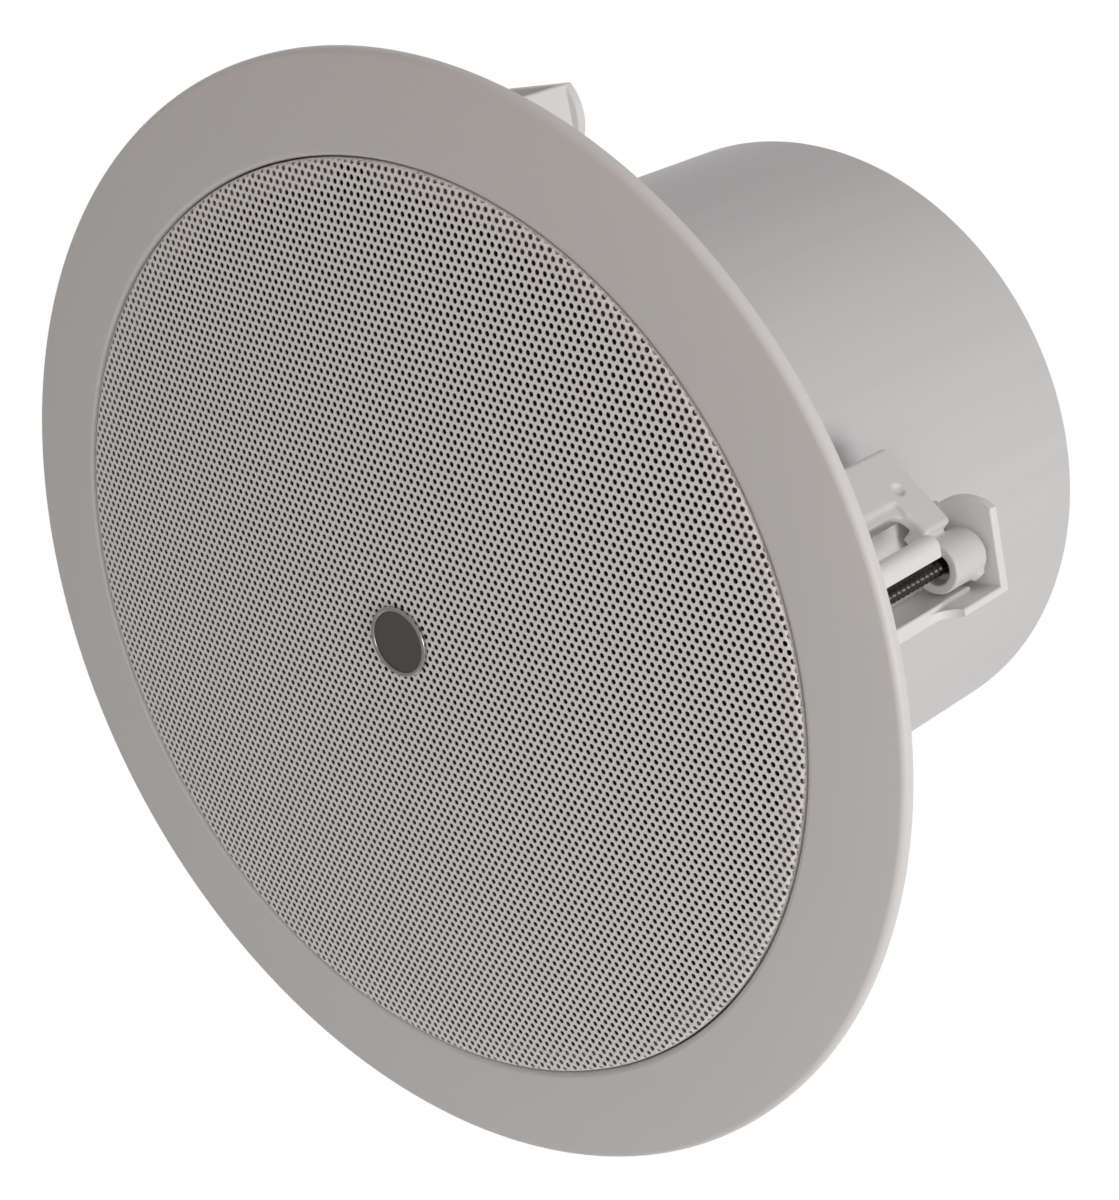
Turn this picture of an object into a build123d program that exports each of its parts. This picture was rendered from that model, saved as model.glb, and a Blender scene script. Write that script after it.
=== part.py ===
from build123d import *
import math
import os

# A round in-ceiling loudspeaker: a bezel with a domed metal grille, a closed can behind it,
# and swing-arm clamps that are screwed down from the front onto the ceiling board.
# Millimetres. The origin is the centre of the flange's seating face, +Z points up into the ceiling.

# Fits
running_fit = 0.06
slip_fit = 0.1
arm_gap = 0.6
overcut = 1.0

# Driver opening and back can
woofer_opening_diameter = 147.0
can_margin = 5.5
can_depth = 136.8
can_sheet = 1.0
can_corner = 2.2
can_rim = 2.5
can_gasket_width = 5.0
can_gasket_thickness = 1.5
ear_count = 4
ear_edge = 4.5
ear_width = 18.0
ear_round = 4.0

# Bezel, grille recess and baffle
clamp_count = 4
clamp_offset = 22.5
grille_margin = 6.95
grille_gap = 0.5
bezel_width = 22.55
bezel_rise = 2.0
bezel_inner_round = 1.2
rim_thickness = 3.0
rim_front_round = 1.6
rim_rear_round = 0.6
seat_land = 4.5
coring_depth = 1.2
skirt_wall = 2.8
ledge_width = 2.4
ledge_depth = 1.5
baffle_depth = 6.0
baffle_thickness = 3.0

# Grille and badge
grille_sheet = 0.8
grille_dome = 4.2
grille_fold = 1.2
scrim_thickness = 0.4
scrim_margin = 6.0
badge_diameter = 16.7
badge_thickness = 1.0
badge_rim = 1.0
badge_recess = 0.4
badge_round = 0.35

# Clamp screw and clip
screw_diameter = 4.0
screw_head_diameter = 8.0
screw_head_height = 2.8
screw_boss_diameter = 10.0
screw_boss_height = 3.0
clip_diameter = 8.0
clip_thickness = 0.8
clip_groove = 0.4
clip_mouth = 2.4
screw_tip_setback = 0.3

# Clamp arm, in its own frame: reach along the wing, offset across it
clamp_travel = 30.5
park_angle = 42.0
sleeve_diameter = 11.8
sleeve_length = 12.0
sleeve_setback = 1.5
sleeve_round = 0.8
sleeve_mouth_diameter = 7.5
sleeve_mouth_depth = 3.5
sleeve_lip = 1.0
wing_reach = 27.8
wing_root = 5.8
wing_length = 22.6
wing_thickness = 3.2
wing_offset = 6.4
wing_round = 1.0
neck_length = 9.6
neck_thickness = 3.4
hook_reach = 13.2
hook_round = 4.5
step_reach = 15.5
step_depth = 1.3
step_setback = 0.7
foot_reach = 31.5
foot_root = 21.5
foot_thickness = 6.5
foot_inside = 1.5
foot_outside = 8.2
foot_round = 3.0
gusset_thickness = 2.0
gusset_height = 9.0
dimple_diameter = 3.0
dimple_depth = 0.9
dimple_reach = 17.6
dimple_setback = 6.7
lug_height = 0.7
lug_width = 2.6
lug_length = 2.6
insert_diameter = 6.5

# Clamp tower
tower_floor = 2.0
tower_floor_drop = 7.6
tower_lip = 7.4
rail_inside = 6.9
rail_wall = 3.5
rail_lip = 2.0
rail_gap = 3.8
rail_tip = 2.0
rail_round = 0.5
rail_taper = 13.0
stop_inside = 8.1
stop_wall = 1.8
stop_length = 17.0
guard_inside = 6.2
guard_wall = 4.0
finger_inside = 5.5
finger_round = 1.4
finger_back_round = 2.6
finger_setback = 4.2
tower_end_wall = 2.2
tower_end_radius = 12.1

# Woofer
chassis_flange = 9.0
basket_sheet = 1.2
basket_depth = 37.0
basket_base_diameter = 74.0
spider_ledge_depth = 23.2
spider_ledge_width = 9.0
spider_ledge_diameter = 104.0
window_count = 6
window_width = 30.0
window_height = 13.0
woofer_screw_count = 4
woofer_screw_inset = 4.0
lip_width = 6.0
roll_radius = 5.5
surround_sheet = 0.8
gasket_ring = 1.5
cone_sheet = 0.9
cone_depth = 21.0
coil_diameter = 26.0
former_sheet = 0.3
winding_sheet = 0.4
winding_length = 8.0
magnet_gap = 0.5
pole_gap = 0.45
top_plate_diameter = 72.0
top_plate_thickness = 5.0
magnet_diameter = 84.0
magnet_bore = 38.0
magnet_thickness = 14.0
back_plate_thickness = 5.0
spider_sheet = 0.6
spider_waves = 3
spider_wave_height = 1.1

# Tweeter on the woofer's pole
tweeter_diameter = 23.0
tweeter_depth = 15.0
tweeter_wall = 1.2
tweeter_front = 7.0
tweeter_post_diameter = 6.0
tweeter_magnet_thickness = 4.0
tweeter_dome_diameter = 18.0
tweeter_dome_height = 4.0
tweeter_dome_sheet = 0.5
tweeter_pole_setback = 1.0

# Crossover inside the can's rear wall
board_length = 74.0
board_width = 50.0
board_thickness = 1.6
board_inset = 4.0
standoff_diameter = 6.0
standoff_height = 6.4
coil_outside = 28.0
coil_inside = 11.0
coil_height = 12.0
capacitor_diameter = 14.0
capacitor_length = 30.0
resistor_length = 22.0
resistor_side = 9.0
component_pitch = 0.25

# Terminals and safety eye on the can's rear wall
cover_length = 66.0
cover_width = 42.0
cover_height = 20.0
cover_sheet = 0.9
cover_corner = 3.0
cover_tab = 10.0
entry_diameter = 14.0
grommet_bore = 8.0
grommet_lip = 1.8
block_length = 40.0
block_width = 14.0
block_height = 12.0
block_ways = 4
block_way_diameter = 4.0
lead_hole_diameter = 9.0
eye_ring_diameter = 18.0
eye_wire_diameter = 4.0
eye_circle = 56.0
eye_stud_diameter = 5.0
eye_collar_diameter = 12.0
eye_collar_height = 2.0
eye_nut_size = 8.0
eye_nut_height = 4.0

# Small fixing screws
fixing_diameter = 3.5
fixing_head_diameter = 7.0
fixing_head_height = 2.2
fixing_bite = 2.2

# Radii that follow from the driving sizes
woofer_opening_radius = woofer_opening_diameter / 2
can_radius = woofer_opening_radius + can_margin
clamp_radius = can_radius + clamp_offset
grille_radius = clamp_radius + grille_margin
opening_radius = grille_radius + grille_gap
flange_radius = opening_radius + bezel_width
skirt_radius = opening_radius + skirt_wall
ledge_radius = opening_radius - ledge_width
ear_circle_radius = can_radius + can_rim + fixing_head_diameter / 2 + arm_gap
chassis_radius = woofer_opening_radius + chassis_flange
woofer_screw_radius = chassis_radius - woofer_screw_inset
coil_radius = coil_diameter / 2
fixing_radius = fixing_diameter / 2

# Heights that follow from the driving sizes
bezel_front = -(rim_thickness + bezel_rise)
grille_front = bezel_front - grille_dome
baffle_rear = baffle_depth + baffle_thickness
can_front = baffle_rear + can_gasket_thickness
can_rear = can_front + can_depth
can_floor = can_rear - can_sheet
clip_front = baffle_rear + screw_boss_height + arm_gap / 3
foot_front = baffle_rear + clamp_travel + arm_gap
wing_rear = foot_front + wing_length
neck_front = wing_rear - neck_length
step_rear = neck_front - step_setback
sleeve_front = neck_front + sleeve_setback
sleeve_rear = sleeve_front + sleeve_length
lip_rear = sleeve_front + sleeve_mouth_depth + sleeve_lip
tower_inside_end = sleeve_rear + 2 * arm_gap
tower_end = tower_inside_end + tower_end_wall
finger_rear = neck_front - finger_setback
guard_rear = neck_front - clamp_travel - hook_round
tower_back = clamp_radius - tower_floor_drop - tower_floor
tower_top = clamp_radius + tower_lip
rail_top = clamp_radius + rail_lip
rail_rear = tower_inside_end - rail_gap
rail_outside = rail_inside + rail_wall
chassis_front = baffle_depth - basket_sheet
surround_front = chassis_front - surround_sheet
spider_ledge = chassis_front + spider_ledge_depth
basket_rear = chassis_front + basket_depth + basket_sheet
top_plate_rear = basket_rear + top_plate_thickness
magnet_rear = top_plate_rear + magnet_thickness
back_plate_rear = magnet_rear + back_plate_thickness
cone_neck = chassis_front + cone_depth
board_rear = can_floor - standoff_height
board_front = board_rear - board_thickness


def turned(*corners):
    """Solid turned about Z from (radius, height) corners, each with an optional corner radius."""
    points = [corner[:2] for corner in corners]
    rounds = [corner[2] if len(corner) > 2 else 0 for corner in corners]
    outline = FilletPolyline(*points, radius=rounds, close=True)
    return revolve(Plane.XZ * make_face(outline), Axis.Z)


def disc(radius, low, high):
    """Cylinder about Z between two heights."""
    return Pos(0, 0, low) * Cylinder(radius, high - low, align=(Align.CENTER, Align.CENTER, Align.MIN))


def block(x, y, z):
    """Box from three (low, high) pairs."""
    centre = Pos(sum(x) / 2, sum(y) / 2, sum(z) / 2)
    return centre * Box(x[1] - x[0], y[1] - y[0], z[1] - z[0])


def crown(apex, radius, rise):
    """Circular arc from the axis out to a radius, level where it leaves the axis."""
    ball = (radius ** 2 + rise ** 2) / (2 * rise)
    half = radius / 2
    middle = apex + ball - math.sqrt(ball ** 2 - half ** 2)
    return ThreePointArc((0, apex), (half, middle), (radius, apex + rise))


def around(shape, count, first_angle=0.0):
    """Copies of a shape at even angles about Z."""
    step = 360.0 / count
    return [Rot(0, 0, first_angle + step * i) * shape for i in range(count)]


def group(shapes):
    """Several separate solids as one node."""
    return Compound(children=list(shapes))


def fixing_screw(length):
    """Pan-head screw with its shank along +Z from the seat of its head at Z 0."""
    head = disc(fixing_head_diameter / 2, -fixing_head_height, 0)
    head = fillet(head.edges().sort_by(Axis.Z)[0], fixing_head_height / 2)
    return head + disc(fixing_radius - slip_fit / 2, 0, length)


def ear_angle():
    """Angle of the first can ear, half-way between two clamps."""
    return 180.0 / clamp_count


def bezel_and_baffle():
    """Turned body of the front frame: bezel, recess ledge, skirt and baffle ring."""
    coring_inner = skirt_radius + seat_land
    coring_outer = flange_radius - seat_land
    return turned(
        (flange_radius, 0, rim_rear_round),
        (flange_radius, -rim_thickness, rim_front_round),
        (opening_radius, bezel_front, bezel_inner_round),
        (opening_radius, ledge_depth),
        (ledge_radius, ledge_depth),
        (ledge_radius, baffle_depth),
        (woofer_opening_radius, baffle_depth),
        (woofer_opening_radius, baffle_rear),
        (skirt_radius, baffle_rear, rim_rear_round),
        (skirt_radius, 0),
        (coring_inner, 0),
        (coring_inner, -coring_depth),
        (coring_outer, -coring_depth),
        (coring_outer, 0),
    )


def finger_underside():
    """Height of the guide finger's underside over the screw axis, clear of the parked neck."""
    park = math.radians(park_angle)
    return (wing_offset - finger_inside * math.sin(park)) / math.cos(park) + arm_gap


def tower_rail(root):
    """Low rail beside the sleeve's path, tapered on its outside towards its rear end."""
    plan = make_face(FilletPolyline(
        (rail_inside, root),
        (rail_inside, rail_rear),
        (rail_inside + rail_tip, rail_rear),
        (rail_outside, rail_rear - rail_taper),
        (rail_outside, root),
        radius=[0, rail_tip / 3, rail_tip / 3, rail_taper / 2, 0],
        close=True,
    ))
    seat = Plane(origin=(tower_back, 0, 0), x_dir=(0, 1, 0), z_dir=(1, 0, 0))
    rail = extrude(seat * plan, rail_top - tower_back)
    return fillet(rail.faces().sort_by(Axis.X)[-1].edges(), rail_round)


def tower_stop():
    """Tall wall before the tower's end that stops the opened wing, scooped down to the rail in front."""
    rise = tower_top - rail_top
    front = tower_end - stop_length
    diagonal = rise * math.sqrt(0.5)
    scoop = ThreePointArc(
        (rail_top, front - rise), (tower_top - diagonal, front - rise + diagonal), (tower_top, front))
    sides = Polyline((tower_top, front), (tower_top, tower_end), (tower_back, tower_end),
                     (tower_back, front - rise), (rail_top, front - rise))
    wall = extrude(Plane.XZ * make_face(scoop + sides), -stop_wall)
    wall = fillet(wall.faces().sort_by(Axis.X)[-1].edges().filter_by(Axis.Z), rail_round)
    return Pos(0, stop_inside, 0) * wall


def tower_finger():
    """Guide finger over the parked neck, rounded along its back and at its end."""
    finger = block(
        (clamp_radius + finger_underside(), tower_top), (-(guard_inside + guard_wall), -finger_inside),
        (guard_rear - guard_wall, finger_rear),
    )
    back = finger.edges().filter_by(Axis.Z).group_by(Axis.X)[-1].sort_by(Axis.Y)[0]
    finger = fillet(back, finger_back_round)
    return fillet(finger.faces().sort_by(Axis.Z)[-1].edges(), finger_round)


def clamp_tower():
    """Open channel that guides one clamp arm, on +X, with a round end that carries the screw's tip."""
    root = baffle_depth + baffle_thickness / 2
    guard_outside = guard_inside + guard_wall
    floor = block((tower_back, tower_back + tower_floor), (-guard_outside, rail_outside), (root, tower_end))
    guard = block((tower_back, tower_top), (-guard_outside, -guard_inside), (root, guard_rear))
    end = Pos(clamp_radius, 0, 0) * disc(tower_end_radius, tower_inside_end, tower_end)
    end = end & block((tower_back, tower_top), (-tower_end_radius, tower_end_radius), (root, tower_end))
    end = fillet(end.faces().sort_by(Axis.Z)[0].edges(), rail_round)
    tower = floor + tower_rail(root) + tower_stop() + guard + tower_finger() + end
    bore = screw_diameter / 2 + running_fit
    journal = disc(bore, tower_inside_end - overcut, tower_end + overcut)
    return tower - Pos(clamp_radius, 0, 0) * journal


def front_frame():
    """White moulding with bezel, grille recess, baffle, clamp towers and can pads."""
    frame = bezel_and_baffle()
    boss_rear = baffle_rear + screw_boss_height
    boss = Pos(clamp_radius, 0, 0) * disc(screw_boss_diameter / 2, baffle_depth, boss_rear)
    pad = Pos(ear_circle_radius, 0, 0) * disc(fixing_head_diameter / 2, baffle_depth, can_front)
    bore = screw_diameter / 2 + running_fit
    screw_hole = Pos(clamp_radius, 0, 0) * disc(bore, 0, boss_rear + overcut)
    pilot = disc(fixing_radius, can_front - fixing_bite - can_gasket_thickness, can_front)
    pilot = Pos(ear_circle_radius, 0, 0) * pilot
    woofer_pilot = disc(fixing_radius, baffle_depth, baffle_depth + fixing_bite)
    woofer_pilot = Pos(woofer_screw_radius, 0, 0) * woofer_pilot
    for piece in around(clamp_tower(), clamp_count) + around(boss, clamp_count):
        frame = frame + piece
    for piece in around(pad, ear_count, ear_angle()):
        frame = frame + piece
    for hole in around(screw_hole, clamp_count) + around(pilot, ear_count, ear_angle()):
        frame = frame - hole
    for hole in around(woofer_pilot, woofer_screw_count, ear_angle()):
        frame = frame - hole
    return frame


def dome_core(inset, foot):
    """Domed disc with a sharp edge, shrunk by an inset, standing down to a given height."""
    edge = bezel_front + inset
    apex = grille_front + inset
    radius = grille_radius - inset
    sides = Polyline((radius, edge), (radius, foot), (0, foot), (0, apex))
    return revolve(Plane.XZ * make_face(crown(apex, radius, edge - apex) + sides), Axis.Z)


def dome_body(inset, foot):
    """Domed disc with the grille's folded edge, shrunk by an inset."""
    body = dome_core(inset, foot)
    edge = bezel_front + inset
    rim = [e for e in body.edges().filter_by(GeomType.CIRCLE) if abs(e.center().Z - edge) < 1e-3]
    return fillet(rim, grille_fold - inset)


def grille():
    """Domed sheet-metal grille with a folded edge that stands on the recess ledge."""
    return dome_body(0, ledge_depth) - dome_body(grille_sheet, ledge_depth + overcut)


def grille_scrim():
    """Cloth bonded behind the grille."""
    front = grille_sheet + slip_fit
    cloth = dome_core(front, ledge_depth) - dome_core(front + scrim_thickness, ledge_depth + overcut)
    trim = disc(grille_radius - scrim_margin, grille_front - overcut, ledge_depth)
    return cloth & trim


def badge():
    """Plain round badge with a raised rim, bonded on the crown of the grille."""
    radius = badge_diameter / 2
    front = grille_front - badge_thickness
    return turned(
        (0, grille_front),
        (radius, grille_front),
        (radius, front, badge_round),
        (radius - badge_rim, front, badge_round),
        (radius - badge_rim, front + badge_recess),
        (0, front + badge_recess),
    )


def clamp_screw():
    """Clamp screw about Z, with its head in front of the baffle and its tip in the tower's end."""
    radius = screw_diameter / 2
    head = disc(screw_head_diameter / 2, baffle_depth - screw_head_height, baffle_depth)
    head = fillet(head.edges().sort_by(Axis.Z)[0], screw_head_height / 2)
    tip = tower_end - screw_tip_setback
    shank = disc(radius, baffle_depth, tip)
    shank = chamfer(shank.edges().sort_by(Axis.Z)[-1], clip_groove)
    groove = disc(radius + overcut, clip_front, clip_front + clip_thickness)
    groove = groove - disc(radius - clip_groove, clip_front, clip_front + clip_thickness)
    return head + (shank - groove)


def screw_clip():
    """Open spring clip in the screw's groove, behind the baffle's boss."""
    bore = screw_diameter / 2 - clip_groove + slip_fit / 2
    ring = disc(clip_diameter / 2, clip_front, clip_front + clip_thickness)
    ring = ring - disc(bore, clip_front, clip_front + clip_thickness)
    mouth = block((0, clip_diameter), (-clip_mouth / 2, clip_mouth / 2),
                  (clip_front, clip_front + clip_thickness))
    return ring - mouth


def clamp_insert():
    """Threaded brass insert in the arm's sleeve."""
    bush = disc(insert_diameter / 2, lip_rear, sleeve_rear - sleeve_round)
    return bush - disc(screw_diameter / 2 + running_fit, lip_rear, sleeve_rear)


def arm_wing():
    """Wing plate on a lower neck, cut back in front of the neck to hook round the guide finger."""
    low = wing_offset - wing_thickness
    outline = FilletPolyline(
        (wing_root, neck_front),
        (hook_reach, neck_front),
        (hook_reach, foot_front),
        (wing_reach, foot_front),
        (wing_reach, wing_rear),
        (wing_root, wing_rear),
        radius=[0, hook_round, 0, 0, wing_round, wing_round],
        close=True,
    )
    plate = extrude(Plane.XZ * make_face(outline), -wing_thickness)
    plate = Pos(0, low, 0) * plate
    outer = plate.faces().sort_by(Axis.Y)[-1]
    plate = fillet(outer.edges(), wing_round)
    plate = plate - block((wing_root, step_reach), (wing_offset - step_depth, wing_offset),
                          (foot_front, step_rear))
    neck_high = low + neck_thickness / 8
    neck = block((0, wing_root + neck_thickness), (neck_high - neck_thickness, neck_high),
                 (neck_front, wing_rear - wing_round))
    return plate + neck


def arm_foot():
    """Foot that bears on the ceiling board, with a gusset up the inside of the wing."""
    foot_rear = foot_front + foot_thickness
    foot = block((foot_root, foot_reach), (-foot_inside, foot_outside), (foot_front, foot_rear))
    foot = fillet(foot.edges().filter_by(Axis.Z), foot_round)
    middle = (foot_root + foot_reach) / 2
    web = make_face(Polyline(
        (wing_offset - wing_thickness, foot_rear),
        (foot_round - foot_inside, foot_rear),
        (wing_offset - wing_thickness, foot_rear + gusset_height),
        close=True,
    ))
    web = extrude(Plane.YZ * web, gusset_thickness)
    return foot + Pos(middle - gusset_thickness / 2, 0, 0) * web


def clamp_arm():
    """Moulded clamp arm about its screw axis, with its wing along +X."""
    sleeve = disc(sleeve_diameter / 2, sleeve_front, sleeve_rear)
    sleeve = fillet(sleeve.edges().sort_by(Axis.Z)[-1], sleeve_round)
    dimple = Pos(dimple_reach, wing_offset, wing_rear - dimple_setback) * (Rot(-90, 0, 0) * disc(
        dimple_diameter / 2, -dimple_depth, dimple_depth))
    lug = block(
        (-(sleeve_diameter / 2 + lug_height), 0), (-lug_width / 2, lug_width / 2),
        (sleeve_rear - sleeve_round - lug_length, sleeve_rear - sleeve_round),
    )
    arm = sleeve + lug + arm_wing() + arm_foot() - dimple
    arm = arm - disc(sleeve_mouth_diameter / 2, neck_front - overcut, sleeve_front + sleeve_mouth_depth)
    arm = arm - disc(screw_diameter / 2 + 4 * running_fit, sleeve_front, sleeve_rear)
    return arm - disc(insert_diameter / 2 + running_fit, lip_rear, sleeve_rear + overcut)


def at_clamp(shape, index):
    """Shape built about a screw axis, moved to one clamp."""
    return Rot(0, 0, 360.0 / clamp_count * index) * (Pos(clamp_radius, 0, 0) * shape)


def parked(shape):
    """Shape turned from pointing outwards to lying against the can."""
    return Rot(0, 0, -(90.0 + park_angle)) * shape


def can_ear():
    """Screw ear on the can's rim, on +X."""
    ear = block((can_radius - can_sheet / 2, ear_circle_radius + ear_edge), (-ear_width / 2, ear_width / 2),
                (can_front, can_front + can_sheet))
    outer = ear.edges().filter_by(Axis.Z).sort_by(Axis.X)[-2:]
    hole = Pos(ear_circle_radius, 0, 0) * disc(fixing_radius + slip_fit, can_front, can_front + can_sheet)
    return fillet(outer, ear_round) - hole


def back_can():
    """Drawn can with a turned-out rim, screw ears and the holes of its rear wall."""
    can = turned(
        (0, can_rear),
        (can_radius, can_rear, can_corner),
        (can_radius, can_front + can_sheet),
        (can_radius + can_rim, can_front + can_sheet),
        (can_radius + can_rim, can_front),
        (can_radius - can_sheet, can_front),
        (can_radius - can_sheet, can_floor, can_corner - can_sheet),
        (0, can_floor),
    )
    for ear in around(can_ear(), ear_count, ear_angle()):
        can = can + ear
    can = can - disc(lead_hole_diameter / 2, can_floor - overcut, can_rear + overcut)
    stud_hole = disc(eye_stud_diameter / 2 + slip_fit, can_floor - overcut, can_rear + overcut)
    can = can - Pos(0, eye_circle, 0) * stud_hole
    for x in cover_screw_places():
        can = can - Pos(x, 0, 0) * disc(fixing_radius, can_floor - overcut, can_rear + overcut)
    for x, y in board_corners():
        can = can - Pos(x, y, 0) * disc(fixing_radius, can_floor - overcut, can_rear + overcut)
    return can


def can_gasket():
    """Foam ring between the can's rim and the baffle."""
    outer = can_radius + can_rim
    return disc(outer, baffle_rear, can_front) - disc(outer - can_gasket_width, baffle_rear, can_front)


def can_screws():
    """Screws through the can's ears into the frame's pads."""
    seat = can_front + can_sheet
    screw = Pos(ear_circle_radius, 0, seat) * (Rot(180, 0, 0) * fixing_screw(can_sheet + fixing_bite))
    return group(around(screw, ear_count, ear_angle()))


def woofer_basket():
    """Pressed basket: mounting flange, windowed cone, spider ledge and base."""
    base = basket_base_diameter / 2
    throat = coil_radius + winding_sheet + 3 * magnet_gap
    ledge_out = spider_ledge_diameter / 2
    ledge_in = ledge_out - spider_ledge_width
    wall_top = woofer_opening_radius - basket_sheet
    basket = turned(
        (chassis_radius, chassis_front),
        (wall_top - basket_sheet, chassis_front),
        (ledge_out, spider_ledge),
        (ledge_in, spider_ledge),
        (base - basket_sheet, basket_rear - basket_sheet),
        (throat, basket_rear - basket_sheet),
        (throat, basket_rear),
        (base, basket_rear),
        (ledge_in + basket_sheet, spider_ledge + basket_sheet),
        (ledge_out + basket_sheet, spider_ledge + basket_sheet),
        (wall_top, baffle_depth),
        (chassis_radius, baffle_depth),
    )
    middle = (baffle_depth + spider_ledge) / 2
    window = block((ledge_in, chassis_radius), (-window_width / 2, window_width / 2),
                   (middle - window_height / 2, middle + window_height / 2))
    for cut in around(window, window_count):
        basket = basket - cut
    hole = disc(fixing_radius + slip_fit, chassis_front - overcut, baffle_depth)
    hole = Pos(woofer_screw_radius, 0, 0) * hole
    for cut in around(hole, woofer_screw_count, ear_angle()):
        basket = basket - cut
    return basket


def lip_radius():
    """Outside radius of the surround's outer lip, inside the basket's screw heads."""
    return woofer_screw_radius - fixing_head_diameter / 2 - slip_fit


def basket_gasket():
    """Ring that clamps the surround's lip on the basket's flange."""
    outer = lip_radius()
    low = surround_front - gasket_ring
    inner = outer - lip_width + surround_sheet
    return disc(outer, low, surround_front) - disc(inner, low, surround_front)


def woofer_screws():
    """Screws through the basket's flange into the baffle."""
    screw = Pos(woofer_screw_radius, 0, chassis_front) * fixing_screw(basket_sheet + fixing_bite - slip_fit)
    return group(around(screw, woofer_screw_count, ear_angle()))


def surround():
    """Half-roll rubber surround with flat lips."""
    lip = lip_radius()
    roll = lip - lip_width - roll_radius
    inner = roll - roll_radius
    outer = roll + roll_radius
    half = surround_sheet / 2
    ring = disc(lip, surround_front, chassis_front) - disc(inner - lip_width, surround_front, chassis_front)
    gap = disc(outer, surround_front, chassis_front) - disc(inner, surround_front, chassis_front)
    arch = make_face(
        Line((inner - half, chassis_front), (inner + half, chassis_front))
        + ThreePointArc((inner + half, chassis_front), (roll, chassis_front - roll_radius + half),
                        (outer - half, chassis_front))
        + Line((outer - half, chassis_front), (outer + half, chassis_front))
        + ThreePointArc((outer + half, chassis_front), (roll, chassis_front - roll_radius - half),
                        (inner - half, chassis_front))
    )
    return ring - gap + revolve(Plane.XZ * arch, Axis.Z)


def cone_edge_radius():
    """Outside radius of the cone's flat edge, under the surround's inner lip."""
    return lip_radius() - lip_width - 2 * roll_radius - surround_sheet


def cone():
    """Woofer cone from its flat edge down to the voice coil."""
    edge = cone_edge_radius()
    neck = coil_radius + former_sheet
    return turned(
        (edge, chassis_front),
        (edge - lip_width, chassis_front),
        (neck, cone_neck),
        (neck, cone_neck + 1.3 * cone_sheet),
        (edge - lip_width + cone_sheet / 2, chassis_front + cone_sheet),
        (edge, chassis_front + cone_sheet),
    )


def spider():
    """Corrugated centring ring from the voice coil to the basket's ledge."""
    inner = coil_radius + former_sheet
    outer = spider_ledge_diameter / 2
    flat = spider_ledge - spider_sheet
    first = inner + lip_width / 2
    last = outer - spider_ledge_width
    count = 2 * spider_waves
    step = (last - first) / count
    crest = [spider_wave_height * (-1) ** i for i in range(1, count)]
    top = [(first + step * (i + 1), flat + crest[i]) for i in range(count - 1)]
    front = [(inner, flat), (first, flat)] + top + [(last, flat), (outer, flat)]
    rear = [(r, z + spider_sheet) for r, z in reversed(front)]
    return turned(*front, *rear)


def voice_coil():
    """Coil former with its winding in the magnet's gap."""
    middle = basket_rear + top_plate_thickness / 2
    low = middle - winding_length / 2
    high = middle + winding_length / 2
    former = disc(coil_radius + former_sheet, cone_neck, high) - disc(coil_radius, cone_neck, high)
    outer = coil_radius + former_sheet + winding_sheet
    winding = disc(outer, low, high) - disc(coil_radius, low, high)
    return former + winding


def top_plate():
    """Front plate of the woofer's magnet."""
    bore = coil_radius + former_sheet + winding_sheet + magnet_gap
    plate = disc(top_plate_diameter / 2, basket_rear, top_plate_rear)
    return plate - disc(bore, basket_rear, top_plate_rear)


def magnet():
    """Ring magnet of the woofer."""
    ring = disc(magnet_diameter / 2, top_plate_rear, magnet_rear)
    return ring - disc(magnet_bore / 2, top_plate_rear, magnet_rear)


def pole_yoke():
    """Back plate with the pole, bored for the tweeter's post."""
    plate = disc(top_plate_diameter / 2, magnet_rear, back_plate_rear)
    pole = disc(coil_radius - pole_gap, basket_rear - basket_sheet / 2, magnet_rear)
    return plate + pole - disc(tweeter_post_diameter / 2 + slip_fit, 0, back_plate_rear + overcut)


def tweeter_housing():
    """Cup of the tweeter on its post, with a flange behind the woofer's back plate."""
    radius = tweeter_diameter / 2
    rear = tweeter_front + tweeter_depth
    cup = disc(radius, tweeter_front, rear)
    cup = cup - disc(radius - tweeter_wall, tweeter_front, rear - tweeter_wall)
    post = disc(tweeter_post_diameter / 2, rear, back_plate_rear)
    cap = disc(tweeter_post_diameter, back_plate_rear, back_plate_rear + tweeter_wall)
    return cup + post + cap


def tweeter_magnet():
    """Magnet and pole cap at the bottom of the tweeter's cup."""
    rear = tweeter_front + tweeter_depth - tweeter_wall
    seat = rear - tweeter_magnet_thickness
    slug = disc(tweeter_dome_diameter / 2, seat, rear)
    pole = disc(tweeter_dome_diameter / 2 - tweeter_wall, tweeter_front + tweeter_pole_setback, seat)
    return slug + pole


def tweeter_dome():
    """Tweeter diaphragm: a thin dome with a flat rim on the cup's edge."""
    rim = tweeter_diameter / 2
    low = tweeter_front - tweeter_dome_sheet
    inner = tweeter_dome_diameter / 2
    shell = crown(low - tweeter_dome_height, inner, tweeter_dome_height)
    back = crown(tweeter_front - tweeter_dome_height, inner - tweeter_dome_sheet, tweeter_dome_height)
    edge = Polyline((inner, low), (rim, low), (rim, tweeter_front),
                    (inner - tweeter_dome_sheet, tweeter_front))
    axis = Line((0, tweeter_front - tweeter_dome_height), (0, low - tweeter_dome_height))
    return revolve(Plane.XZ * make_face(shell + edge + back + axis), Axis.Z)


def board_corners():
    """Places of the crossover board's fixings."""
    x = board_length / 2 - board_inset
    y = board_width / 2 - board_inset
    return [(-x, -y), (x, -y), (x, y), (-x, y)]


def crossover_board():
    """Crossover circuit board on its standoffs."""
    board = block((-board_length / 2, board_length / 2), (-board_width / 2, board_width / 2),
                  (board_front, board_rear))
    for x, y in board_corners():
        board = board - Pos(x, y, 0) * disc(fixing_radius + slip_fit, board_front, board_rear)
    return board


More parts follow.
